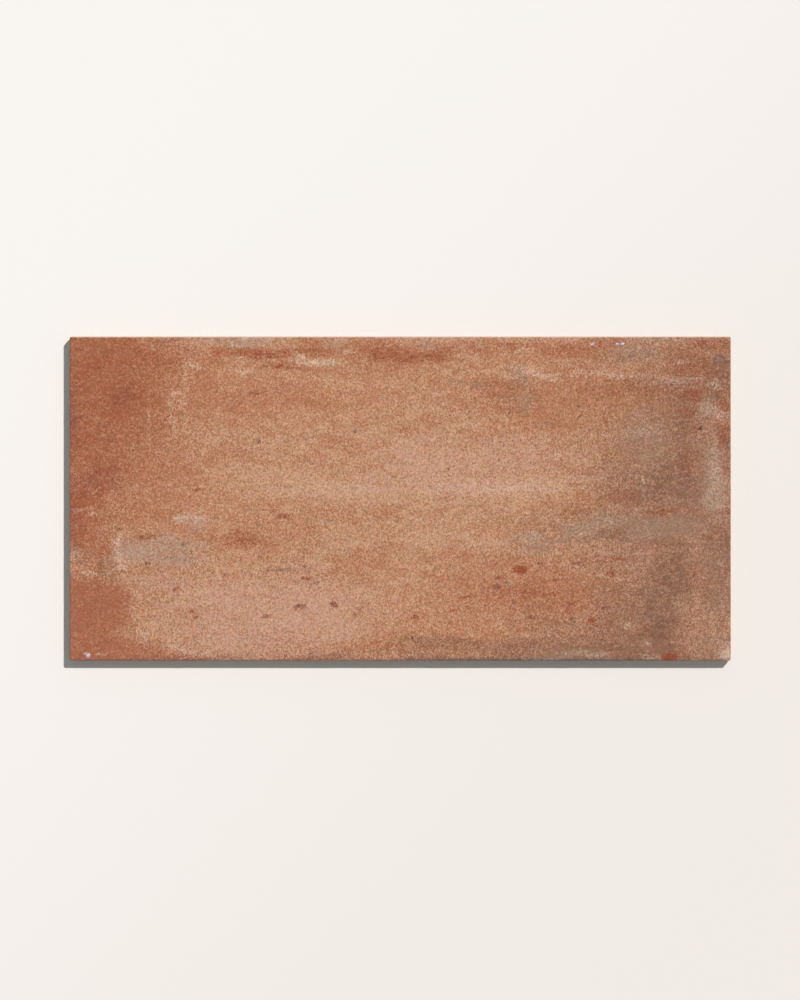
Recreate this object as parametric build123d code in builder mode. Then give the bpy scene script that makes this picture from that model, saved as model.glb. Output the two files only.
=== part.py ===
"""A terracotta-look porcelain stoneware tile, dust-pressed and fired as one piece.

The tile lies on its back: the origin is the centre of the bedding plane, +X runs along the
length, +Y across the width and +Z out of the face. All sizes are in millimetres.
"""

import os
from math import cos, radians

from build123d import *

# The work size. Two widths and one joint make one length, so that a tile spans two others.
width = 150.0
module_joint = 6.0
length = 2 * width + module_joint
thickness = 9.0

# The edge: a sharp plan corner, a rounded arris round the face, an upright band that the
# joint is filled against, and below it a flank drawn in, so that the blank leaves its die.
corner_radius = 1.0
arris_radius = 0.8
upright_band = 5.0
flank_inset = 0.7
flank_height = thickness - arris_radius - upright_band

# The key of the back: a honeycomb of shallow cells with drafted walls, inside a plain
# border. The border and the ribs between cells lie on one plane, which carries the tile.
least_border = 7.0
target_cell_pitch = 14.0
rib_width = 2.2
cell_depth = 0.6
wall_draft = 35.0
cell_sides = 6

# Cells stand point to point across the width. The rows are as long as the space inside the
# borders, so that every second row ends in half cells, and the pitch closes that space.
key_length = length - 2 * least_border
cells_in_row = round(key_length / target_cell_pitch)
cell_pitch = key_length / cells_in_row

# A cell's flats lie nearer its middle than its points do, by this ratio. One row runs along
# the middle of the back, and the rows on each side of it fill the width up to the border.
half_side_angle = 180 / cell_sides
flat_ratio = cos(radians(half_side_angle))
row_pitch = cell_pitch * flat_ratio
cell_radius = (cell_pitch - rib_width) / 2 / flat_ratio
rows_each_side = int((width / 2 - least_border - cell_radius) / row_pitch)

with BuildPart() as tile:
    # The blank, as the die gives it.
    with BuildSketch():
        RectangleRounded(length, width, corner_radius)
    extrude(amount=thickness)
    fillet(tile.faces().sort_by(Axis.Z)[-1].edges(), arris_radius)
    back = tile.faces().sort_by(Axis.Z)[0]
    chamfer(back.edges(), flank_inset, flank_height, reference=back)

    # The cells, pressed up into the back. The middle row has an even number of them, so that
    # a rib crosses the centre, and its neighbours are shifted by half a cell.
    with BuildSketch():
        for row in range(-rows_each_side, rows_each_side + 1):
            extra_cell = (cells_in_row + row) % 2
            with Locations((0, row * row_pitch)):
                with GridLocations(cell_pitch, row_pitch, cells_in_row + extra_cell, 1):
                    RegularPolygon(cell_radius, cell_sides, rotation=half_side_angle)
        Rectangle(key_length - rib_width, width, mode=Mode.INTERSECT)
    extrude(amount=cell_depth, taper=wall_draft, mode=Mode.SUBTRACT)

tile.part.label = "tile"

os.makedirs("parts", exist_ok=True)
export_step(tile.part, "parts/tile.step")
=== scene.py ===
"""The looks of the terracotta-look porcelain tile, lying on its back on a pale floor.

Lengths are in metres, apart from the marks of the face, which are placed in millimetres from
its centre as the photograph shows them, with +X to the right and +Y up.
"""

from math import cos, pi, radians, sin
from typing import NamedTuple

import bmesh
import bpy
import numpy as np
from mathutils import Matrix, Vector, noise


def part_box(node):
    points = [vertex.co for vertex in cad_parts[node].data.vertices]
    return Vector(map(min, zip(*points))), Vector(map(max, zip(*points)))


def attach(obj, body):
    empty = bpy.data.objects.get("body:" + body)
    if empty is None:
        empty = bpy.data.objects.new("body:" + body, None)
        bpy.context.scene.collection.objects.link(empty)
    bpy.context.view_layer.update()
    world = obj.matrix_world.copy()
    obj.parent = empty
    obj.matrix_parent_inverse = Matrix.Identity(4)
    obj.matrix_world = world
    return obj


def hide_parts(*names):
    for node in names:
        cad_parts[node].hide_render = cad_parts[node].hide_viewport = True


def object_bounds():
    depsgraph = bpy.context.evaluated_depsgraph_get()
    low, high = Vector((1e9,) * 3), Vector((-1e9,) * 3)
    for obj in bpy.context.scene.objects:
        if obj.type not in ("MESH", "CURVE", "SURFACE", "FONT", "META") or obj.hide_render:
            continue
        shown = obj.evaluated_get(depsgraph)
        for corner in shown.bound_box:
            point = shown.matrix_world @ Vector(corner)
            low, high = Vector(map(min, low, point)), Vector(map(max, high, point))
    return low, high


MM = 0.001


class Ink(NamedTuple):
    """One colour of the print and the marks that it makes on the face."""

    colour: tuple  # as it looks on a screen, 0 to 255
    softness: float  # share of a mark's half width over which its edge fades
    wander: float  # how far the edges stray across the tile, in millimetres
    patchiness: float  # how much the streaks of the print break the mark up
    grit: float  # how much the sand of the print shows through the mark
    marks: tuple  # x, y, length, width in millimetres, turn in degrees, strength 0 to 1


# The inks, from the lowest to the one on top. The marks of each go from left to right.
inks = {
    "cream_clouds": Ink(
        colour=(204, 159, 127),
        softness=1.3,
        wander=3.0,
        patchiness=0.2,
        grit=1.0,
        marks=(
            (-143, -33, 12, 2.4, -12, 0.2),
            (-128, -50, 16, 8, 0, 0.15),
            (-127, -30, 8, 8, 30, 0.25),
            (-118, -13, 12, 8, 0, 0.15),
            (-112, -38, 18, 8, 0, 0.2),
            (-104, 28, 16, 10, 0, 0.2),
            (-101, 60, 10, 6, 0, 0.4),
            (-98, 33, 16, 24, 0, 0.3),
            (-90, 70, 12, 6, 0, 0.2),
            (-88, -30, 40, 12, 0, 0.3),
            (-80, -27, 30, 10, 0, 0.3),
            (-75, 14, 20, 8, 0, 0.3),
            (-68, -13, 26, 8, 0, 0.2),
            (-68, 28, 40, 12, 0, 0.3),
            (-62, -12, 24, 8, 0, 0.3),
            (-60, -13, 18, 7, 0, 0.15),
            (-60, -13, 20, 8, 0, 0.2),
            (-58, -54, 106, 34, 0, 0.5),
            (-55, 22, 24, 12, 0, 0.3),
            (-52, 6, 50, 12, 0, 0.35),
            (-49, -46, 12, 20, 0, 0.2),
            (-40, -54, 60, 14, 0, 0.12),
            (-36, -54, 50, 20, 0, 0.15),
            (-36, -50, 36, 20, 0, 0.35),
            (-28, 4, 44, 10, 0, 0.5),
            (-20, -16, 70, 16, 0, 0.3),
            (-14, 54, 26, 9, 0, 0.25),
            (-8, 0, 16, 8, 0, 0.2),
            (-6, -26, 16, 9, 0, 0.25),
            (-6, 1, 26, 8, 0, 0.3),
            (-4, 0, 36, 9, 0, 0.35),
            (-4, 8, 120, 20, 0, 0.45),
            (-1, 42, 26, 14, 0, 0.35),
            (4, 22, 18, 16, 0, 0.35),
            (8, 27, 14, 9, 0, 0.25),
            (10, 10, 12, 10, 0, 0.2),
            (42, 24, 56, 18, 0, 0.22),
            (44, 5, 70, 11, 0, 0.6),
            (48, 14, 24, 6, 0, 0.3),
            (64, 69, 20, 6, 0, 0.25),
            (90, 54, 14, 9, 0, 0.15),
            (92, 27, 26, 12, 0, 0.3),
            (92, 53, 16, 8, 0, 0.25),
            (98, 38, 30, 14, 0, 0.35),
            (104, 56, 40, 8, 0, 0.15),
            (141, -62, 26, 20, 0, 0.3),
        ),
    ),
    "rosy_clouds": Ink(
        colour=(202, 158, 134),
        softness=1.3,
        wander=3.0,
        patchiness=0.2,
        grit=1.0,
        marks=(
            (-128, -28, 14, 12, 0, 0.2),
            (-104, -40, 36, 16, 0, 0.15),
            (-62, -54, 110, 38, 0, 0.4),
            (30, 14, 90, 26, 0, 0.3),
            (56, 24, 50, 16, 0, 0.2),
            (82, -60, 30, 10, 0, 0.2),
            (96, -30, 40, 14, 0, 0.2),
        ),
    ),
    "amber_clouds": Ink(
        colour=(192, 132, 94),
        softness=1.3,
        wander=3.0,
        patchiness=0.2,
        grit=1.0,
        marks=(
            (-98, 14, 40, 24, 0, 0.15),
            (-84, -2, 32, 20, 0, 0.25),
            (-68, 70, 26, 8, 0, 0.25),
            (-62, 50, 120, 32, 0, 0.35),
            (-22, 20, 44, 20, 0, 0.2),
            (-4, -46, 44, 32, 0, 0.2),
            (36, 54, 16, 10, 0, 0.3),
            (52, -14, 34, 10, 0, 0.35),
            (80, -67, 34, 10, 0, 0.2),
            (92, -27, 16, 9, 0, 0.25),
            (100, 1, 36, 9, 0, 0.3),
            (110, 48, 36, 20, 0, 0.35),
        ),
    ),
    "orange_clouds": Ink(
        colour=(178, 117, 84),
        softness=1.3,
        wander=3.0,
        patchiness=0.2,
        grit=0.9,
        marks=(
            (-134, 22, 30, 22, 0, 0.3),
            (-118, 18, 50, 90, 0, 0.5),
            (-116, -66, 20, 12, 0, 0.3),
            (-108, -6, 30, 12, 0, 0.4),
            (-102, 14, 18, 8, 0, 0.2),
            (-92, -14, 18, 8, 0, 0.25),
            (-91, 1, 22, 10, 0, 0.3),
            (-90, -54, 44, 9, 0, 0.2),
            (-90, 54, 16, 9, 0, 0.15),
            (-90, 54, 20, 10, 0, 0.25),
            (-88, 49, 30, 14, 0, 0.5),
            (-78, 41, 16, 8, 0, 0.3),
            (-70, 62, 90, 14, 0, 0.2),
            (-62, -19, 44, 18, 0, 0.5),
            (-62, -9, 44, 10, 0, 0.2),
            (-62, 46, 40, 14, 0, 0.5),
            (-54, 16, 26, 3, 0, 0.35),
            (-48, -68, 52, 8, 0, 0.25),
            (-36, 47, 30, 12, 0, 0.45),
            (-35, 42, 20, 10, 0, 0.35),
            (-30, 26, 14, 6, 0, 0.4),
            (-20, -68, 18, 8, 0, 0.2),
            (-20, -68, 24, 8, 0, 0.2),
            (-14, -69, 34, 10, 0, 0.3),
            (-13, 13, 10, 4, 0, 0.4),
            (-10, 66, 40, 14, 0, 0.4),
            (-6, -58, 34, 14, 0, 0.2),
            (10, -67, 60, 10, 0, 0.15),
            (10, 68, 50, 9, 0, 0.15),
            (16, -46, 36, 18, 0, 0.25),
            (24, -62, 60, 20, 0, 0.5),
            (26, -28, 44, 10, 0, 0.3),
            (28, -40, 40, 14, 0, 0.25),
            (34, 55, 14, 9, 0, 0.2),
            (38, 28, 28, 9, 0, 0.3),
            (46, 53, 22, 8, 0, 0.4),
            (48, 54, 14, 9, 0, 0.25),
            (49, -26, 16, 8, 0, 0.3),
            (50, -40, 60, 28, 0, 0.45),
            (50, -12, 40, 12, 0, 0.25),
            (62, -54, 14, 9, 0, 0.15),
            (62, -54, 16, 9, 0, 0.2),
            (68, 45, 74, 24, 0, 0.6),
            (74, 69, 56, 10, 0, 0.6),
            (76, -4, 30, 10, 0, 0.4),
            (76, 41, 14, 9, 0, 0.2),
            (82, -38, 44, 40, 0, 0.35),
            (86, 31, 34, 12, 0, 0.3),
            (94, 1, 26, 8, 0, 0.3),
            (98, 51, 44, 14, 0, 0.4),
            (104, 54, 14, 8, 0, 0.2),
            (106, 0, 26, 9, 0, 0.6),
            (118, 44, 16, 14, 0, 0.3),
        ),
    ),
    "brick_clouds": Ink(
        colour=(163, 97, 69),
        softness=1.1,
        wander=3.0,
        patchiness=0.15,
        grit=0.5,
        marks=(
            (-162, 50, 106, 94, 0, 0.8),
            (-151, -10, 26, 32, 0, 0.75),
            (-148, 14, 14, 12, 0, 0.2),
            (-148, 54, 14, 12, 0, 0.2),
            (-143, -24, 22, 18, 0, 0.5),
            (-142, 6, 30, 18, 15, 0.25),
            (-141, 68, 30, 10, 0, 0.15),
            (-137, 1, 34, 11, 0, 0.25),
            (-135, 66, 52, 18, 0, 0.35),
            (-132, -12, 12, 8, 0, 0.2),
            (-132, -8, 20, 8, 0, 0.2),
            (-127, 48, 16, 20, 0, 0.4),
            (-108, 66, 40, 12, 0, 0.35),
            (-103, -58, 20, 12, 0, 0.15),
            (-97, -74, 16, 3, 0, 0.4),
            (-76, 68, 20, 6, 0, 0.25),
            (-76, 69, 16, 6, 0, 0.2),
            (-71, -18, 12, 8, 0, 0.5),
            (-66, 66.6, 30, 6, 0, 0.6),
            (-52, 60.5, 26, 3, 0, 0.4),
            (-47, -74.6, 40, 2, 0, 0.6),
            (-41, 68.5, 28, 3, 0, 0.5),
            (-9, 68, 24, 9, 0, 0.6),
            (6, 65, 16, 6, 0, 0.5),
            (8, 69, 28, 7, 0, 0.2),
            (17, 66, 13, 7, 0, 0.6),
            (30, 70, 30, 6, 0, 0.3),
            (46, 51, 18, 6, 0, 0.3),
            (50, -44, 36, 15, 0, 0.15),
            (52, 71, 14, 3, 0, 0.4),
            (56, -43, 26, 8, 0, 0.25),
            (66, -46, 50, 24, 0, 0.1),
            (66, 68, 30, 8, 0, 0.1),
            (76, 69, 16, 7, 0, 0.15),
            (77, -66, 22, 9, 0, 0.15),
            (84, 69, 26, 8, 0, 0.12),
            (88, -46, 34, 26, 0, 0.3),
            (92, 70, 20, 6, 0, 0.3),
            (110, 52, 26, 7, 0, 0.4),
            (118, -5.5, 14, 4, 6, 0.4),
            (126, -27, 16, 8, 0, 0.2),
            (126, 48, 26, 18, 0, 0.25),
            (131, 38, 9, 6, 0, 0.4),
            (134, 48, 16, 8, 0, 0.5),
            (136, 62, 28, 14, 0, 0.5),
            (143, 72, 20, 6, 0, 0.5),
            (150, -14, 8, 18, 0, 0.4),
            (150, 29, 9, 15, 0, 0.5),
            (151, 45, 5, 16, 0, 0.4),
        ),
    ),
    "brick_patches": Ink(
        colour=(168, 107, 81),
        softness=0.6,
        wander=2.0,
        patchiness=0.15,
        grit=0.8,
        marks=(
            (-154, -62, 60, 56, 0, 0.8),
            (-145, -49, 37, 25, 0, 0.8),
            (-134, -74, 46, 20, 0, 0.7),
            (-112, -78, 54, 12, 0, 0.5),
        ),
    ),
    "umber_clouds": Ink(
        colour=(136, 99, 80),
        softness=1.2,
        wander=3.0,
        patchiness=0.2,
        grit=0.6,
        marks=(
            (-134, -34, 8, 14, 0, 0.4),
            (-100, -75, 60, 2, 0, 0.3),
            (-30, -74.5, 50, 2, 0, 0.3),
            (-15, -71, 44, 6, 0, 0.15),
            (0, -75, 330, 6, 0, 0.3),
            (12, -68, 40, 8, 0, 0.2),
            (20, -66, 40, 2.5, 0, 0.3),
            (24, -68, 36, 8, 0, 0.25),
            (48, -27, 14, 8, 0, 0.12),
            (52, -74.2, 120, 4, 0, 0.9),
            (54, -68, 34, 9, 0, 0.3),
            (54, 48, 20, 14, 0, 0.2),
            (62, -54, 30, 10, 0, 0.12),
            (62, -53, 14, 9, 0, 0.15),
            (66, -23.4, 16, 1.6, 0, 0.3),
            (74, -69, 66, 11, 0, 0.45),
            (78, -62, 40, 12, 0, 0.3),
            (88, -71, 40, 8, 0, 0.35),
            (92, -28, 18, 9, 0, 0.15),
            (92, -16.5, 30, 2.5, 14, 0.5),
            (98, -54, 26, 12, 0, 0.15),
            (104, -52, 30, 34, 0, 0.3),
            (104, 8, 30, 22, 0, 0.3),
            (106, -25, 22, 8, 0, 0.25),
            (106, -12, 100, 16, 0, 0.3),
            (108, -68, 40, 14, 0, 0.4),
            (117, -67, 14, 10, 0, 0.2),
            (118, -67, 12, 9, 0, 0.2),
            (118, -18.5, 40, 3, -4, 0.5),
            (119, -50, 18, 34, 0, 0.6),
            (124, -66, 14, 18, 0, 0.7),
            (124, 2, 34, 14, 0, 0.4),
            (128, -31, 16, 18, 0, 0.6),
            (128, 12, 28, 26, 0, 0.55),
            (130, -73, 40, 5, 0, 0.3),
            (130, -42, 14, 14, 0, 0.3),
            (131, 40, 20, 30, 0, 0.35),
            (132, -40, 12, 10, 0, 0.15),
            (133, 28, 20, 16, 0, 0.1),
            (138, 35, 18, 9, 0, 0.12),
            (142, -1, 14, 12, 0, 0.12),
            (142, 0, 104, 230, 0, 0.4),
            (147, -38, 14, 36, 0, 0.25),
            (147, -26, 12, 11, 0, 0.25),
            (147, -22, 14, 20, 0, 0.3),
            (148, 55, 14, 20, 0, 0.55),
            (148, 64.5, 6, 5, 0, 0.6),
        ),
    ),
    "taupe_clouds": Ink(
        colour=(158, 126, 104),
        softness=1.0,
        wander=2.0,
        patchiness=0.4,
        grit=0.9,
        marks=(
            (-142, 69, 24, 9, 0, 0.1),
            (24, 53, 8, 3, 0, 0.25),
            (36, 52, 8, 4, 0, 0.4),
            (55, 56, 13, 8, -30, 0.4),
            (59, 45, 5, 9, 0, 0.4),
            (60, -18.5, 16, 5, 0, 0.4),
            (62, -22, 14, 3, 0, 0.6),
            (64, -25, 16, 5, 0, 0.25),
            (66, 35, 8, 4, 0, 0.35),
            (74, -19.6, 14, 3, 12, 0.6),
            (82, -71.5, 40, 5, 0, 0.4),
            (84, -15, 22, 5, 12, 0.5),
            (94, -10, 18, 8, 0, 0.5),
            (106, 67, 26, 8, 0, 0.5),
            (108, -12, 22, 9, 0, 0.5),
            (112, 26, 24, 18, 0, 0.5),
            (114, 38, 20, 10, 0, 0.3),
            (116, -68, 16, 8, 0, 0.3),
            (124, -14, 32, 9, 0, 0.7),
            (132, -13, 14, 9, 0, 0.12),
            (132, -13, 14, 10, 0, 0.2),
            (132, -4, 16, 20, 0, 0.15),
            (140, -68, 24, 12, 0, 0.2),
            (140, -26, 24, 12, 0, 0.25),
            (142, 42, 9, 11, 0, 0.3),
            (145, -67, 14, 12, 0, 0.15),
            (145, 8, 14, 40, 0, 0.4),
            (147, -40, 12, 30, 0, 0.3),
        ),
    ),
    "greige_clouds": Ink(
        colour=(184, 154, 131),
        softness=1.0,
        wander=2.0,
        patchiness=0.4,
        grit=0.9,
        marks=(
            (-151.5, -26, 3, 6, 0, 0.35),
            (-147, -26, 12, 8, 0, 0.2),
            (-127, -22, 10, 10, 0, 0.4),
            (-120, -28, 24, 7, 0, 0.3),
            (-118, -26, 12, 7, 0, 0.15),
            (-112, -38, 20, 8, 0, 0.2),
            (-110, -24, 34, 14, 0, 0.52),
            (-105, -22, 16, 7, 0, 0.15),
            (-98, -28, 16, 6, 0, 0.4),
            (-97, -9.5, 20, 3.5, 0, 0.6),
            (-94, -14, 8, 6, 0, 0.3),
            (-88, 73, 10, 3, 0, 0.3),
            (-76, -68, 70, 8, 0, 0.12),
            (-72, 72.5, 28, 5, 0, 0.6),
            (-30, 72, 9, 2.5, 0, 0.5),
            (12, 72, 8, 3.4, 0, 0.4),
            (60, -17.8, 12, 3, 0, 0.4),
            (70, -73.5, 20, 2, 0, 0.3),
            (84, -13, 18, 3, 12, 0.3),
            (86, -72, 22, 2.6, 0, 0.5),
            (96, -9, 14, 5, 0, 0.15),
            (108, 69, 16, 4, 0, 0.3),
            (113, 31, 18, 5, 0, 0.4),
            (118, 74, 16, 2, 0, 0.5),
            (124, 54, 26, 3, 0, 0.3),
            (142, 42, 7, 8, 0, 0.4),
            (145, 18, 7, 18, 0, 0.4),
            (146, 0, 10, 20, 0, 0.5),
            (147, -68, 10, 8, 0, 0.2),
            (147.5, -31, 4, 4, 0, 0.35),
            (151, -71.5, 5, 6, 0, 0.8),
        ),
    ),
    "plum_smudges": Ink(
        colour=(142, 84, 72),
        softness=1.2,
        wander=1.5,
        patchiness=0.2,
        grit=0.5,
        marks=(
            (-152, 36, 8, 24, 0, 0.5),
            (-151, -14, 8, 24, 0, 0.3),
            (-147, 52, 5, 1.3, 0, 0.5),
            (-141, 8, 24, 12, 15, 0.4),
            (-139.5, 58.7, 4, 3, 0, 0.3),
            (-137.5, 26.7, 8, 1.5, 0, 0.35),
            (-129.8, -13.8, 4, 1.2, 0, 0.7),
            (-127, 47, 11, 11, 0, 0.3),
            (-108.5, 72.3, 13, 1.3, 5, 0.5),
            (-103.5, -42.3, 2.6, 1.3, 0, 0.7),
            (-100.2, -20.6, 2.2, 1.8, 0, 0.6),
            (-81.2, -35.7, 2, 1.8, 0, 0.7),
            (-62.7, -67.8, 2, 1.2, 0, 0.4),
            (-60, -32.8, 8, 1.4, 0, 0.5),
            (-52, -32.2, 7, 1.2, 3, 0.45),
            (12.4, -48.4, 3, 1.2, 0, 0.4),
            (16.6, -32.9, 1.8, 1.8, 0, 0.5),
            (39.3, -49.8, 3, 1.2, 0, 0.4),
            (45, -37, 3, 1.6, 0, 0.7),
            (45.4, -40.6, 3.4, 2.2, 0, 0.8),
            (59.2, -55, 3, 2.2, 0, 0.6),
            (74.6, -33.8, 4, 1.2, -20, 0.4),
            (78.6, -49.5, 3.2, 2.4, 0, 0.5),
            (79, -36.4, 3, 1.4, 0, 0.6),
            (83, -30, 4, 1.4, 0, 0.5),
            (90.2, -26.8, 1.8, 1.6, 0, 0.6),
            (94, -50.6, 2.6, 2, 0, 0.5),
            (133.3, 10, 3, 2, 0, 0.5),
            (149.4, 28, 5, 10, 0, 0.45),
            (151, 14, 4, 3, 0, 0.5),
        ),
    ),
    "brick_streaks": Ink(
        colour=(153, 87, 62),
        softness=0.9,
        wander=1.2,
        patchiness=0.5,
        grit=0.8,
        marks=(
            (-117.6, -17.6, 7, 2.6, 0, 0.7),
            (-96, -51.6, 4.4, 1.5, 0, 0.7),
            (-94.2, -54.7, 3, 1.3, 30, 0.7),
            (-94, 3.6, 3.6, 1.8, 15, 0.6),
            (-72, -19.5, 7, 4, 0, 0.4),
            (-67, 48.4, 4.4, 2.6, 0, 0.5),
            (-63, 66.2, 22, 3.4, 0, 0.5),
            (-55.5, 60.6, 5, 1.6, 0, 0.5),
            (-54, -8.2, 7, 3, 0, 0.7),
            (-54, 60.3, 24, 1.1, 0, 0.5),
            (-46, -49.8, 5, 3, 0, 0.4),
            (-42, 17, 20, 1.3, 0, 0.3),
            (-40, 68.6, 26, 1.1, 0, 0.6),
            (-31, -49.2, 4, 3.4, 0, 0.6),
            (-25, 24.5, 8, 3, 0, 0.3),
            (-19.5, -53.2, 3, 1.6, 0, 0.5),
            (-16.4, -48, 6, 1.1, 0, 0.5),
            (-16, 12.8, 5, 1.8, 0, 0.4),
            (-8, 67, 14, 5, 0, 0.3),
            (2, 65.2, 8, 3, 0, 0.4),
            (16, 65.4, 11, 3.4, 0, 0.5),
            (23, -52.3, 4, 1, 0, 0.5),
            (31.5, -45.4, 12, 1.2, 4, 0.5),
            (50, -50, 5, 2.4, 0, 0.4),
            (50, 72.2, 9, 1.3, 0, 0.5),
            (58, -44, 8, 3, 0, 0.3),
            (68, -44, 12, 2, 0, 0.3),
            (74, -37, 5, 2.4, 0, 0.4),
            (78, -51.5, 3, 2, 0, 0.4),
            (79, 6.7, 6, 1.4, 0, 0.5),
            (81, -6.2, 12, 2, 0, 0.4),
            (97.1, -34.9, 4, 3, 0, 0.65),
            (101.8, -27.5, 6, 3, 0, 0.8),
            (121.6, -6, 10, 2.2, 8, 0.5),
            (131, 38.6, 9, 6, 0, 0.3),
            (134, 18, 9, 9, 0, 0.2),
            (134.2, -50.5, 1.6, 1.2, 0, 0.5),
            (134.6, 48, 12, 5, 0, 0.35),
            (137.6, 60, 17, 8, 0, 0.3),
            (141, 71, 22, 4, 0, 0.25),
            (149.4, -6.2, 7, 2.2, 0, 0.6),
            (150.6, 29, 5, 13, 0, 0.4),
            (151, 45, 4, 10, 0, 0.4),
        ),
    ),
    "cream_lines": Ink(
        colour=(212, 175, 144),
        softness=1.2,
        wander=0.2,
        patchiness=0.5,
        grit=1.0,
        marks=(
            (-141, 37, 10, 0.9, 0, 0.15),
            (-116.4, 36, 1, 24, 0, 0.36),
            (-106.7, 45.5, 2, 4.6, 0, 0.4),
            (-105.6, 43.1, 4, 2, -45, 0.4),
            (-105.6, 48, 4, 1.9, 45, 0.35),
            (-105, 36, 4, 5, 30, 0.35),
            (-104, 31, 5, 4, -20, 0.35),
            (-103, 42, 4.4, 1.8, 0, 0.3),
            (-103, 45.5, 6, 6, 0, 0.15),
            (-103, 49, 4.4, 1.8, 0, 0.3),
            (-100.9, -39.5, 0.8, 18, 0, 0.4),
            (-100.5, 48, 4, 1.7, -45, 0.3),
            (-100.4, 42.9, 4, 1.4, 45, 0.35),
            (-99.4, 36.5, 1.8, 9, 0, 0.45),
            (-99.4, 45.5, 1.8, 5, 0, 0.35),
            (-99.3, 54, 1.8, 8, 0, 0.4),
            (86.8, -15.5, 14, 0.8, 16, 0.5),
            (98, -36.5, 17, 0.8, -9, 0.3),
            (112.4, 5.5, 0.9, 15, 0, 0.4),
        ),
    ),
    "cream_streaks": Ink(
        colour=(214, 182, 155),
        softness=1.2,
        wander=0.8,
        patchiness=0.6,
        grit=1.0,
        marks=(
            (-152, -26.5, 2, 4, 0, 0.4),
            (-146, -5, 11, 1.4, 8, 0.35),
            (-144, 2.4, 4, 1, 60, 0.2),
            (-142.6, -7, 5, 1.6, 0, 0.4),
            (-142, -34.6, 13, 1.2, -12, 0.35),
            (-141, 3.4, 5, 1.2, 45, 0.22),
            (-138.6, -71.7, 6, 1.2, 0, 0.4),
            (-131, -22, 3, 9, 0, 0.45),
            (-129, -29, 5, 7, 20, 0.45),
            (-120, -62, 3, 14, 20, 0.18),
            (-98, -11, 9, 2, 0, 0.25),
            (-98, -9.4, 17, 2, 0, 0.4),
            (-97, -6.5, 5, 3, 0, 0.35),
            (-97, 62.4, 5, 3, 0, 0.35),
            (-96, -71, 22, 2, -14, 0.35),
            (-94, 60.6, 4, 2, 0, 0.3),
            (-79, 51.5, 8, 1.6, 0, 0.35),
            (-77, 70.6, 6, 1.6, 0, 0.3),
            (-72, 74, 3, 1.4, 0, 0.7),
            (-70.5, 59.2, 8, 1.7, 0, 0.55),
            (-61, 74, 2, 1.2, 0, 0.7),
            (-46, 65.6, 6, 3, -35, 0.5),
            (-38, 62.8, 21, 3.2, 0, 0.55),
            (-30, 4.5, 40, 6, 0, 0.2),
            (-26, 67.6, 7, 1.8, 0, 0.22),
            (42, 5, 60, 7, 0, 0.22),
            (58, 69, 7, 2, 0, 0.3),
            (61, 58.6, 16, 3, -14, 0.45),
            (71, 56, 5, 3, 30, 0.3),
            (90, 57.6, 34, 2, 0, 0.3),
            (94, 29, 10, 1.2, 0, 0.25),
            (97, -10, 8, 3, 0, 0.12),
            (104.6, -59, 3, 2, 0, 0.45),
            (106, 56.6, 24, 2, 2, 0.3),
            (114.3, -67.4, 2.6, 1.6, 0, 0.5),
            (116, -73.4, 9, 2, 0, 0.3),
            (130, 63, 7, 1.2, 8, 0.38),
            (132, 55.2, 18, 1.3, 6, 0.25),
            (144, 42, 7, 7, 0, 0.12),
            (145, 12, 6, 16, 0, 0.15),
            (145, 54, 6, 2, 35, 0.45),
            (147.5, 51.5, 5, 1.6, -20, 0.4),
            (148.5, 38, 6, 3.5, 0, 0.35),
            (151, -72, 5, 5, 0, 0.45),
        ),
    ),
    "rust_blots": Ink(
        colour=(150, 80, 55),
        softness=0.4,
        wander=0.3,
        patchiness=0.2,
        grit=1.0,
        marks=(
            (-116.8, -29.7, 3.8, 1.3, 0, 0.85),
            (-61.8, -54.4, 4, 1.9, 0, 0.6),
            (-43.8, -37.1, 4.6, 2.2, 0, 0.8),
            (7.2, -55.2, 4.6, 2.6, 0, 0.65),
            (55.8, -32.9, 7.8, 4.2, 0, 0.8),
            (57, -34.2, 5, 2, 0, 0.25),
            (88.6, -56, 4.2, 2.6, 0, 0.85),
            (97.1, -70.2, 2.8, 1, 0, 0.8),
            (124.8, -73.6, 7.4, 4.4, 0, 0.9),
        ),
    ),
    "slate_specks": Ink(
        colour=(112, 108, 100),
        softness=0.9,
        wander=0.3,
        patchiness=0.4,
        grit=1.0,
        marks=(
            (-150.7, -22, 1.4, 2, 0, 0.4),
            (-147.6, -29.8, 1.3, 1.5, 0, 0.4),
            (-128.5, -33.6, 1.6, 1.4, 0, 0.5),
            (-105, -27.4, 4, 1.6, 0, 0.3),
            (-97, -24.7, 1.3, 1, 0, 0.6),
            (-95, 38, 1.4, 1.4, 0, 0.3),
            (-91, -29.6, 1.4, 1.2, 0, 0.6),
            (-53, -32.6, 10, 1.6, 3, 0.35),
            (-43.5, -32, 4, 1.2, 0, 0.4),
            (-38.4, -38.9, 2, 1.5, 0, 0.8),
            (-34.6, -11.2, 2, 1, 30, 0.4),
            (-24.6, -24.4, 2, 1.5, 0, 0.8),
            (12, 72.4, 5, 2.6, 0, 0.25),
            (16.6, -40.4, 1.4, 1.2, 0, 0.4),
            (39, 67.6, 2, 1.6, 0, 0.3),
            (50, -39.4, 2.6, 2, -40, 0.6),
            (51.6, -41.6, 1.6, 1.2, 0, 0.5),
            (52.2, -47.8, 1.3, 1.3, 0, 0.6),
            (56.9, -40.5, 1.8, 1, 0, 0.4),
            (66, -30.2, 2, 1, 0, 0.3),
            (68, -74.9, 104, 2.2, 0, 0.4),
            (147.4, 64.6, 5.6, 4.4, -30, 0.4),
            (150.8, 25.5, 3, 5, 0, 0.3),
        ),
    ),
    "soot_specks": Ink(
        colour=(70, 60, 54),
        softness=0.8,
        wander=0.2,
        patchiness=0.3,
        grit=1.0,
        marks=(
            (-130.6, 2.2, 1.6, 1.2, -20, 0.5),
            (-130.4, -13.7, 2, 0.9, 0, 0.4),
            (-65.3, 26.4, 1.3, 1.2, 0, 1.0),
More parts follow.
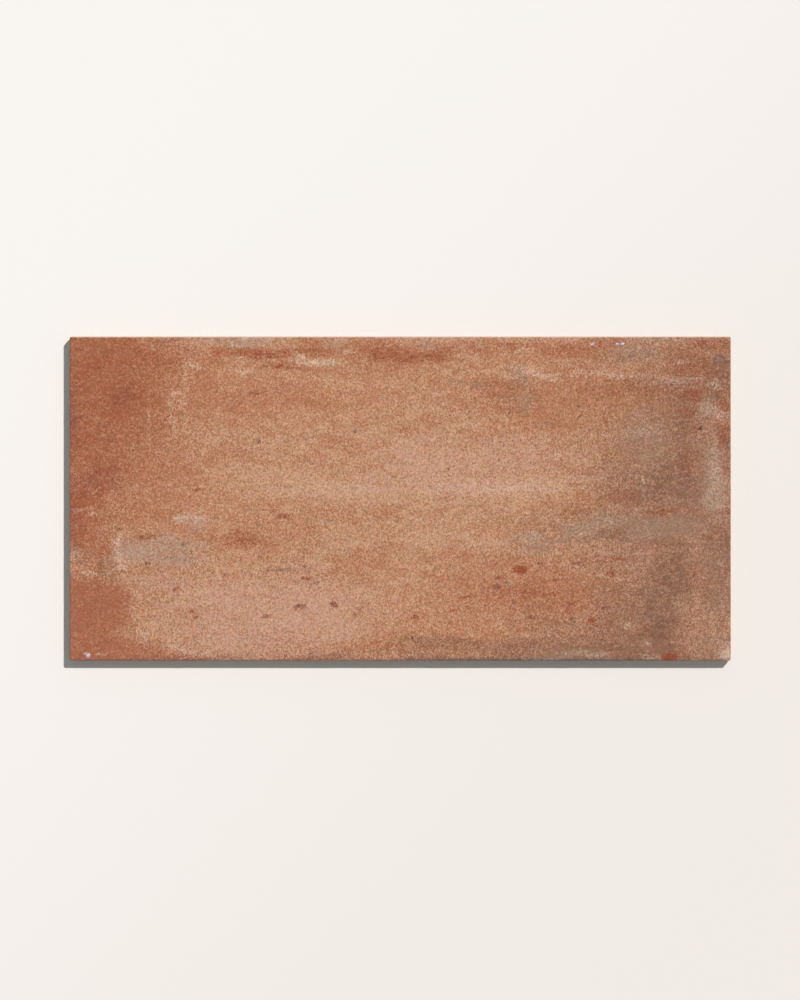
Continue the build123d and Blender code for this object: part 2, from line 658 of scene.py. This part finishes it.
            (-59.3, -59.8, 2.4, 0.8, 30, 0.45),
            (-51.6, -71, 1.2, 1, 0, 0.4),
            (-47.4, -50, 3, 1.6, 0, 0.4),
            (-47, -49.5, 2.4, 1.4, 0, 0.55),
            (-44, -31.7, 2, 0.9, 0, 0.4),
            (-41.4, -71.5, 1.4, 0.9, 0, 0.45),
            (-31, -48.9, 2.6, 2.2, 0, 0.75),
            (-20.7, 31.1, 1.5, 1.3, 0, 0.8),
            (-19.6, -51.2, 2.4, 1, 0, 0.7),
            (-15.2, -63.4, 1.2, 0.9, 0, 0.6),
            (-5.2, 11.2, 1.2, 1, 0, 0.4),
            (5.2, -64, 3, 0.8, -35, 0.6),
            (14.2, -73, 1.4, 1, 0, 0.5),
            (18, 35, 1, 1.3, 0, 0.55),
            (22.6, 13.4, 1.1, 1.6, 0, 0.5),
            (31.9, 40.2, 1.2, 1, 0, 0.55),
            (34.2, 16.4, 2, 0.9, 0, 0.5),
            (35.6, -69, 1, 0.9, 0, 0.5),
            (41.6, 52.4, 1.4, 1, 0, 0.4),
            (47.6, 24.8, 1, 1, 0, 0.4),
            (50.9, 39.4, 1, 1, 0, 0.4),
            (54.6, 55.4, 1.6, 1.2, 0, 0.3),
            (59.3, -54.8, 1.6, 1.2, 0, 0.4),
            (64.2, -30.2, 2.4, 0.8, 0, 0.7),
            (80, -55.5, 1.8, 0.8, 0, 0.5),
            (82.3, 42.7, 1.3, 1, 0, 0.5),
            (82.6, 37.4, 2, 0.9, 40, 0.55),
            (94, -50.4, 1.4, 1.2, 0, 0.5),
            (96.4, 52, 1.2, 0.9, 0, 0.45),
            (125.5, 52.5, 1.2, 1, 0, 0.5),
            (139.2, 32.6, 2, 1.3, 0, 1.0),
        ),
    ),
    "chalk_specks": Ink(
        colour=(226, 222, 228),
        softness=0.8,
        wander=0.2,
        patchiness=0.2,
        grit=1.0,
        marks=(
            (-145.8, -71.8, 1.2, 0.8, 0, 0.6),
            (-144.3, -72.5, 1.3, 2, 0, 0.9),
            (89, 71.8, 2, 1, 0, 0.75),
            (100.4, 71.8, 1.6, 1, 0, 0.85),
            (102.8, 71.6, 1.9, 1, 0, 0.95),
        ),
    ),
}

# The print lies a little low and to the left on the tile, so that more pale engobe shows along
# the top edge and a little along the right: a painted highlight on the lit edges.
highlight_shift = (-0.1 * MM, -0.4 * MM)

# The edges of the marks stray in swells, this many times as wide as their ink's wander and
# drawn out along the tile by this much. Along the tile they stray further than across it.
swell_width = 3
swell_stretch = 2.5
stray_along = 2

# How far a point is from the edge of the print is kept between these, in radii of the arris.
inset_limits = (-2, 4)

# Over these shares of the arris the body gives way to the engobe, and the engobe to the print.
body_end = (0.05, 0.25)
print_start = (0.1, 0.9)

# The ground of the print, and what shows beyond it: engobe on the arris, wider along the top edge
# as a painted highlight, and the body below.
brick_ground = (175, 113, 79)
sand_ground = (206, 164, 132)
engobe_and_edge_highlight = (212, 180, 156)
dark_body = (158, 143, 131)
pale_body = (172, 157, 145)

# The matt face: its gloss, its roughness from the smoothest streaks to the roughest, and how
# much white it adds in this light to what its print sends back.
gloss = 0.25
smoothest, roughest = 0.62, 0.78
sheen = 0.022

# The sand of the print. A grain has this much of its own tone, and the rest from its clump.
grain_size = 0.55 * MM
clump_size = 1.0 * MM
own_tone = 0.72

# How much the share of an ink changes where it is a half, from the darkest grain to the palest.
speckle = 0.8

# An ink paler than this takes to the pale grains first, and a darker one to the dark grains.
middle_tone = (182, 136, 108)

# The least and the most of the ground that is sand.
least_sand, most_sand = 0.28, 0.72

# What multiplies the red, green and blue of the print, from one end of each change to the other.
grain_tints = ((0.82, 0.83, 0.745), (1.18, 1.17, 1.255))
# The clumps, which stand up in relief, are painted lighter on top and darker between them:
# painted light and shade.
clump_light_and_shade = ((0.97, 0.93, 0.9), (1.03, 1.07, 1.1))
green_to_rose = ((0.977, 1.023, 0.977), (1.023, 0.977, 1.023))
warm_to_cool = ((1.04, 1.0, 0.93), (0.96, 1.0, 1.07))

# Random hues multiply it too. They have this share, and a fixed colour has the rest.
grain_hue_share, grain_hue_rest = 0.07, (1.031, 1.031, 1.031)
cloud_hue_share, cloud_hue_rest = 0.22, (1.065, 1.062, 1.123)

# The clumps stand up from the face a little, and so do the streaks, which have the rest.
relief_strength = 0.25
relief_depth = 0.15 * MM
clumps_in_relief = 0.6

# Nearly all values of a noise lie in its range, and most in its core. The mean of two noises
# keeps nearer to the middle.
noise_range = (0.25, 0.75)
noise_core = (0.3, 0.7)
mottling_range = (0.38, 0.62)


def linear(colour):
    """Turns a colour as it looks on a screen, 0 to 255, into the values that nodes take."""
    shares = [part / 255 for part in colour]
    return [s / 12.92 if s <= 0.04045 else ((s + 0.055) / 1.055) ** 2.4 for s in shares]


def pigment(colour):
    """The paint that looks like a colour, 0 to 255, with the matt face's own sheen on it."""
    return [max(0, (share - sheen) / (1 - sheen)) for share in linear(colour)]


# The mesh: the solid's back and flanks, with a fine face and a slightly uneven arris.

corner_radius = 1.0 * MM
arris_radius = 0.8 * MM
arris_steps = 6
face_cell = 0.8 * MM
weld_distance = 0.001 * MM

# The arris is wider and narrower by this share, in swells of this size.
arris_unevenness = 0.18
arris_swell = 9 * MM

# The face lies this much too low on average, in broad swells with small ones on them.
hollow_depth = 0.05 * MM
broad_swell = 40 * MM
small_swell = 9 * MM
small_share = 0.4


def open_shell(solid, rim_height):
    """Copies the solid's back and flanks, which end where the arris begins."""
    shell = bmesh.new()
    shell.from_mesh(solid.data)
    bmesh.ops.remove_doubles(shell, verts=shell.verts, dist=weld_distance)
    limit = rim_height + weld_distance
    above = [face for face in shell.faces if face.calc_center_median().z > limit]
    bmesh.ops.delete(shell, geom=above, context="FACES")
    for axis, other in ((0, 1), (1, 0)):
        open_edges = [edge for edge in shell.edges if edge.is_boundary]
        sides = [edge for edge in open_edges if runs_along(edge, axis, other)]
        cuts = round(sides[0].calc_length() / face_cell) - 1
        bmesh.ops.subdivide_edges(shell, edges=sides, cuts=cuts)
    return shell


def runs_along(edge, axis, other):
    """Says whether an edge is one of the straight sides that run along an axis."""
    run = edge.verts[1].co - edge.verts[0].co
    return abs(run[axis]) > 2 * corner_radius and abs(run[other]) < weld_distance


def rim_in_order(shell):
    """Walks the open rim once round, against the clock as seen from above."""
    edge = next(edge for edge in shell.edges if edge.is_boundary)
    rim = [edge.verts[0]]
    corner = edge.verts[1]
    while corner is not rim[0]:
        rim.append(corner)
        edge = next(e for e in corner.link_edges if e.is_boundary and e is not edge)
        corner = edge.other_vert(corner)
    if rim[0].co.cross(rim[1].co).z < 0:
        rim.reverse()
    return rim


def pairs_round(ring):
    """Each point of a closed ring with the next one."""
    return zip(ring, ring[1:] + ring[:1])


def flat_of_face(shell, half_length, half_width, top):
    """Adds the flat part of the face as square cells, and returns its points row by row."""
    columns = round(2 * half_length / face_cell)
    rows = round(2 * half_width / face_cell)
    across = [(2 * column / columns - 1) * half_length for column in range(columns + 1)]
    up = [(2 * row / rows - 1) * half_width for row in range(rows + 1)]
    flat = [[shell.verts.new((x, y, top)) for x in across] for y in up]
    for lower, upper in zip(flat, flat[1:]):
        for column in range(columns):
            left, right = lower[column : column + 2]
            upper_left, upper_right = upper[column : column + 2]
            shell.faces.new((left, right, upper_right, upper_left))
    return flat


def close_with_face(shell, half_length, half_width, top):
    """Adds the arris as rings above the rim, and joins it to the flat of the face."""
    rim = rim_in_order(shell)
    flat = flat_of_face(shell, half_length, half_width, top)

    def step_along(value, half, steps):
        return round((min(max(value, -half), half) + half) * steps / (2 * half))

    def nearest_on_flat(vert):
        row = step_along(vert.co.y, half_width, len(flat) - 1)
        return flat[row][step_along(vert.co.x, half_length, len(flat[0]) - 1)]

    places = [vert.co.copy() for vert in rim]
    inward = []
    for vert in rim:
        away = vert.co - nearest_on_flat(vert).co
        away.z = 0
        inward.append(-away.normalized())
    swells = [noise.noise(place / arris_swell) for place in places]
    radii = [arris_radius * (1 + arris_unevenness * swell) for swell in swells]
    for vert, radius in zip(rim, radii):
        vert.co.z = top - radius

    ring = rim
    for step in range(1, arris_steps + 1):
        angle = radians(90 * step / arris_steps)
        higher = []
        for place, direction, radius in zip(places, inward, radii):
            co = place + direction * radius * (1 - cos(angle))
            co.z = top - radius * (1 - sin(angle))
            higher.append(shell.verts.new(co))
        for below, above in zip(pairs_round(ring), pairs_round(higher)):
            shell.faces.new((*below, *reversed(above)))
        ring = higher

    inner = [nearest_on_flat(vert) for vert in ring]
    for outside, (start, end) in zip(pairs_round(ring), pairs_round(inner)):
        inside = [end] if start is end else [end, start]
        shell.faces.new((*outside, *inside))


def dressed_tile(solid):
    """Makes the tile's own mesh from the solid's, with its face laid out for the print."""
    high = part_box("tile")[1]
    shell = open_shell(solid, high.z - arris_radius)
    close_with_face(shell, high.x - corner_radius, high.y - corner_radius, high.z)
    for vert in shell.verts:
        crown = max(0, (vert.co.z - high.z + arris_radius) / arris_radius)
        broad = noise.noise(vert.co / broad_swell)
        swell = broad + small_share * noise.noise(vert.co / small_swell)
        vert.co.z -= min(crown, 1) * hollow_depth * (1 + swell / (1 + small_share))
    mesh = bpy.data.meshes.new("fired_tile")
    shell.to_mesh(mesh)
    shell.free()
    piece = bpy.data.objects.new("fired_tile", mesh)
    bpy.context.scene.collection.objects.link(piece)
    return piece


# The marks, stored on the mesh for the material to read.


def drift(x, y, size, seed):
    """A smooth random value, -1 to 1, at each place. Its swells are drawn out along the tile."""
    places = zip(x / size / swell_stretch, y / size)
    return np.array([noise.noise(Vector((*place, seed))) for place in places])


def smooth_shares(values):
    """Eases values from 0 to 1 in and out."""
    shares = np.clip(values, 0, 1)
    return shares * shares * (3 - 2 * shares)


def cover_of(ink, x, y, seed):
    """How much of an ink lies at each place, 0 to 1. The places are in millimetres."""
    size = swell_width * ink.wander
    stray_x = x + stray_along * ink.wander * drift(x, y, size, seed)
    stray_y = y + ink.wander * drift(x, y, size, seed + 0.5)
    cover = np.zeros(len(x))
    for mark_x, mark_y, length, width, turn, strength in ink.marks:
        away_x, away_y = stray_x - mark_x, stray_y - mark_y
        along = away_x * cos(radians(turn)) + away_y * sin(radians(turn))
        across = away_y * cos(radians(turn)) - away_x * sin(radians(turn))
        reach = np.hypot(2 * along / length, 2 * across / width)
        mark = strength * smooth_shares((1 + ink.softness / 2 - reach) / ink.softness)
        cover += mark * (1 - cover)
    return cover


def print_marks(mesh, high):
    """Stores how much of each ink lies at each point, and how far it is from edge and flank."""
    points = np.empty(len(mesh.vertices) * 3)
    mesh.vertices.foreach_get("co", points)
    x, y, z = points.reshape(-1, 3).T
    rise = np.clip((z - high.z + arris_radius) / arris_radius, 0, 1)
    # The shifted print leaves more pale engobe along the top edge: a painted highlight.
    shift_x, shift_y = highlight_shift
    inset = np.minimum(high.x - np.abs(x - shift_x), high.y - np.abs(y - shift_y))
    store(mesh, "rise", rise)
    store(mesh, "inset", np.clip(inset / arris_radius, *inset_limits))
    for seed, (name, ink) in enumerate(inks.items()):
        store(mesh, name, cover_of(ink, x / MM, y / MM, seed) * (rise > 0))


def store(mesh, name, values):
    """Keeps one value for each point of a mesh under a name that its material reads."""
    attribute = mesh.attributes.new(name, "FLOAT", "POINT")
    attribute.data.foreach_set("value", values.astype(np.float32))


# The material.


class NodeDesk:
    """Adds nodes to a material. Its methods return an output, and take values or outputs."""

    def __init__(self, name):
        self.material = bpy.data.materials.new(name)
        self.material.use_nodes = True
        self.tree = self.material.node_tree
        self.shader = self.tree.nodes["Principled BSDF"]
        self.place = self.add("ShaderNodeTexCoord").outputs["Object"]

    def add(self, kind, inputs=(), **settings):
        """Adds a node of a kind and returns the node itself."""
        node = self.tree.nodes.new(kind)
        for name, value in settings.items():
            setattr(node, name, value)
        for name, value in dict(inputs).items():
            self.plug(node.inputs[name], value)
        return node

    def plug(self, socket, value):
        """Links an output to a socket, or sets the socket to a value."""
        if isinstance(value, bpy.types.NodeSocket):
            self.tree.links.new(value, socket)
        elif isinstance(value, (list, tuple)) and socket.type == "RGBA":
            socket.default_value = (*value, 1)
        else:
            socket.default_value = value

    def calculate(self, operation, first, second):
        return self.add("ShaderNodeMath", {0: first, 1: second}, operation=operation).outputs[0]

    def sum(self, first, second):
        return self.calculate("ADD", first, second)

    def product(self, first, second):
        return self.calculate("MULTIPLY", first, second)

    def blend(self, first, second, share):
        """Adds two values up, the first one's share of the sum being given."""
        return self.sum(self.product(first, share), self.product(second, 1 - share))

    def spread(self, value, limits, new_limits=(0.0, 1.0)):
        """Maps the range between two limits onto another range, eased and clamped."""
        names = ("From Min", "From Max", "To Min", "To Max")
        inputs = {"Value": value, **dict(zip(names, (*limits, *new_limits)))}
        settings = {"interpolation_type": "SMOOTHSTEP"}
        return self.add("ShaderNodeMapRange", inputs, **settings).outputs["Result"]

    def noise(self, size, detail=2.0, roughness=0.5, stretch=1.0, shift=0.0, output="Fac"):
        """Noise whose swells are one size wide, drawn out along X by the stretch."""
        inputs = {
            "Vector": self.place,
            "Scale": (1 / stretch, 1, 1),
            "Location": (shift, shift, shift),
        }
        scaled = self.add("ShaderNodeMapping", inputs)
        inputs = {
            "Vector": scaled.outputs[0],
            "Scale": 1 / size,
            "Detail": detail,
            "Roughness": roughness,
        }
        return self.add("ShaderNodeTexNoise", inputs).outputs[output]

    def grains(self, size):
        """Small cells, one size wide, each in a random colour."""
        inputs = {"Vector": self.place, "Scale": 1 / size}
        return self.add("ShaderNodeTexVoronoi", inputs).outputs["Color"]

    def speckled(self, share, swing):
        """Breaks a share up into grains. The room for it is widest where the share is a half."""
        room = self.product(share, self.calculate("SUBTRACT", 1.0, share))
        return self.sum(share, self.product(room, swing))

    def stored(self, name):
        """What the mesh keeps for each point under a name."""
        return self.add("ShaderNodeAttribute", attribute_name=name).outputs["Fac"]

    def mix(self, share, below, above, kind="MIX"):
        """Mixes two colours, which go in on sockets 6 and 7, and come out mixed on 2."""
        node = self.add("ShaderNodeMix", data_type="RGBA", blend_type=kind)
        self.plug(node.inputs[0], share)
        self.plug(node.inputs[6], below)
        self.plug(node.inputs[7], above)
        return node.outputs[2]

    def tinted(self, colour, share, below, above):
        """Multiplies a colour by a mix of two others."""
        return self.mix(1.0, colour, self.mix(share, below, above), "MULTIPLY")


def printed_stoneware():
    """The tile's one material: a sandy matt print over a pale body, which the arris shows."""
    desk = NodeDesk("printed_stoneware")

    # Sand: each grain has a tone of its own, and the grains lie in clumps.
    grains = desk.grains(grain_size)
    tone = desk.add("ShaderNodeSeparateColor", {0: grains}).outputs["Green"]
    clumps = desk.spread(desk.noise(clump_size, detail=2, roughness=0.7), noise_range)

    # The streaks of the print along the tile, from broad to fine.
    broad = desk.noise(16 * MM, detail=2, stretch=2.2)
    middle = desk.noise(3.5 * MM, detail=2, stretch=1.8, shift=0.3)
    fine = desk.noise(1.8 * MM, detail=3, roughness=0.7, stretch=2, shift=0.6)

    mottling = desk.blend(broad, middle, 0.5)
    grain = desk.blend(tone, clumps, own_tone)
    colour = all_inks(desk, mottling, fine, grain)
    colour = with_changing_hues(desk, colour, grains, tone, clumps)
    desk.plug(desk.shader.inputs["Base Color"], within_edges(desk, colour))

    desk.plug(desk.shader.inputs["Specular IOR Level"], gloss)
    roughness = desk.spread(fine, noise_core, (smoothest, roughest))
    desk.plug(desk.shader.inputs["Roughness"], roughness)
    relief = {
        "Height": desk.blend(clumps, middle, clumps_in_relief),
        "Strength": relief_strength,
        "Distance": relief_depth,
    }
    desk.plug(desk.shader.inputs["Normal"], desk.add("ShaderNodeBump", relief).outputs[0])
    return desk.material


def all_inks(desk, mottling, streaks, grain):
    """The print: pale sand on brick, and the inks, broken up by streaks and by the sand."""
    room_at_half = 0.25
    towards_pale = desk.calculate("SUBTRACT", grain, 0.5)
    towards_pale = desk.product(towards_pale, speckle / room_at_half)
    towards_dark = desk.product(towards_pale, -1.0)
    sandiness = desk.spread(mottling, mottling_range, (least_sand, most_sand))
    sandiness = desk.speckled(sandiness, towards_pale)
    colour = desk.mix(sandiness, pigment(brick_ground), pigment(sand_ground))
    for name, ink in inks.items():
        gain = desk.spread(streaks, noise_core, (1 - ink.patchiness, 1 + ink.patchiness))
        cover = {0: desk.stored(name), 1: gain}
        share = desk.add("ShaderNodeMath", cover, operation="MULTIPLY", use_clamp=True)
        swing = towards_pale if sum(ink.colour) > sum(middle_tone) else towards_dark
        share = desk.speckled(share.outputs[0], desk.product(swing, ink.grit))
        colour = desk.mix(share, colour, pigment(ink.colour))
    return colour


def with_changing_hues(desk, colour, grains, tone, clumps):
    """Adds light and shade from grain to grain, and slight changes of hue."""
    colour = desk.tinted(colour, tone, *grain_tints)
    colour = desk.tinted(colour, clumps, *clump_light_and_shade)
    colour = desk.tinted(colour, grain_hue_share, grain_hue_rest, grains)
    blush = desk.noise(clump_size, detail=2, roughness=0.7, shift=1.8)
    colour = desk.tinted(colour, desk.spread(blush, noise_range), *green_to_rose)
    hues = desk.noise(3 * MM, detail=3, stretch=1.5, shift=1.2, output="Color")
    colour = desk.tinted(colour, cloud_hue_share, cloud_hue_rest, hues)
    coolness = desk.noise(1.6 * MM, detail=3, stretch=1.3, shift=1.5)
    return desk.tinted(colour, desk.spread(coolness, noise_core), *warm_to_cool)


def within_edges(desk, colour):
    """Ends the print on the arris, where the pale engobe shows, wider along the top edge as a
    painted highlight, with the bare body below it.
    """
    chalky = desk.noise(3 * MM, detail=4, roughness=0.6, shift=0.9)
    printed = desk.spread(desk.sum(desk.stored("inset"), chalky), print_start)
    colour = desk.mix(printed, pigment(engobe_and_edge_highlight), colour)
    body = desk.mix(desk.spread(chalky, noise_core), pigment(dark_body), pigment(pale_body))
    return desk.mix(desk.spread(desk.stored("rise"), body_end), body, colour)


# The floor, the light and the camera.

floor_half = 1.5
floor_roughness = 0.9

# The floor changes from one colour to the other on the way from the upper left to the lower
# right, over this distance each side of the tile's centre.
upper_floor = (249, 245, 240)
lower_floor = (241, 235, 229)
floor_fade = 0.35

# How far the sun leans to the right and up the picture, for one unit of its height, and how
# wide it looks. The sky gives this much of the light, and the sun gives the rest.
sun_lean = (0.36, 0.43)
sun_width = radians(2)
sky_light = (0.25, 0.275, 0.29)
backdrop = (246, 242, 237)

# The picture is taller than it is wide, so the sensor's size and the view are heights.
lens = 400.0
sensor = 36.0
view_height = 462.7 * MM
view_centre = (-0.1 * MM, -0.65 * MM)


def pale_floor():
    """A plain floor under the tile, a little warmer and darker towards the lower right."""
    bpy.ops.mesh.primitive_plane_add(size=2 * floor_half)
    floor = bpy.context.object
    floor.name = "floor"
    desk = NodeDesk("pale_floor")
    split = desk.add("ShaderNodeSeparateXYZ", {0: desk.place})
    slope = desk.calculate("SUBTRACT", split.outputs["X"], split.outputs["Y"])
    share = desk.spread(slope, (-floor_fade, floor_fade))
    colour = desk.mix(share, linear(upper_floor), linear(lower_floor))
    desk.plug(desk.shader.inputs["Base Color"], colour)
    desk.plug(desk.shader.inputs["Roughness"], floor_roughness)
    desk.plug(desk.shader.inputs["Specular IOR Level"], 0.0)
    floor.data.materials.append(desk.material)


def sun():
    """One sun from the upper right, which with the sky lights a level white fully."""
    towards_sun = Vector((*sun_lean, 1)).normalized()
    lamp = bpy.data.lights.new("sun", "SUN")
    lamp.energy = pi / towards_sun.z
    lamp.color = [1 - share for share in sky_light]
    lamp.angle = sun_width
    holder = bpy.data.objects.new("sun", lamp)
    holder.rotation_euler = towards_sun.to_track_quat("Z", "Y").to_euler()
    bpy.context.scene.collection.objects.link(holder)


def sky():
    """An even sky, which the camera sees, also in gloss and through glass, as a pale backdrop."""
    world = bpy.data.worlds.new("sky")
    world.use_nodes = True
    nodes, links = world.node_tree.nodes, world.node_tree.links
    light = nodes["Background"]
    light.inputs["Color"].default_value = (*sky_light, 1)
    seen = nodes.new("ShaderNodeBackground")
    seen.inputs["Color"].default_value = (*linear(backdrop), 1)
    rays = nodes.new("ShaderNodeLightPath")
    shown = rays.outputs["Is Camera Ray"]
    for kind in ("Is Glossy Ray", "Is Transmission Ray"):
        either = nodes.new("ShaderNodeMath")
        either.operation = "MAXIMUM"
        links.new(shown, either.inputs[0])
        links.new(rays.outputs[kind], either.inputs[1])
        shown = either.outputs[0]
    choice = nodes.new("ShaderNodeMixShader")
    links.new(shown, choice.inputs[0])
    links.new(light.outputs[0], choice.inputs[1])
    links.new(seen.outputs[0], choice.inputs[2])
    links.new(choice.outputs[0], nodes["World Output"].inputs["Surface"])
    bpy.context.scene.world = world


def camera(top):
    """Looks straight down on the face from far enough for the photograph's framing."""
    data = bpy.data.cameras.new("camera")
    data.lens = lens
    data.sensor_width = sensor
    seer = bpy.data.objects.new("camera", data)
    seer.location = (*view_centre, top + view_height * lens / sensor)
    bpy.context.scene.collection.objects.link(seer)
    bpy.context.scene.camera = seer


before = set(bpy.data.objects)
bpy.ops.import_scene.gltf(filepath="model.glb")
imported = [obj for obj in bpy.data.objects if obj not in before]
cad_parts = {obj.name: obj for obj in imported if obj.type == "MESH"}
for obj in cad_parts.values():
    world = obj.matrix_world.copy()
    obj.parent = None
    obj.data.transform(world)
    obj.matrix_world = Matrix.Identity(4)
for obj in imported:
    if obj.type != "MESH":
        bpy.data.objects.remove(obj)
cad_low, cad_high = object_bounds()

tile = dressed_tile(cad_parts["tile"])
print_marks(tile.data, cad_high)
tile.data.materials.append(printed_stoneware())
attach(tile, "root")
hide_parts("tile")

pale_floor()
sun()
sky()
camera(cad_high.z)
bpy.context.scene.view_settings.view_transform = "Standard"
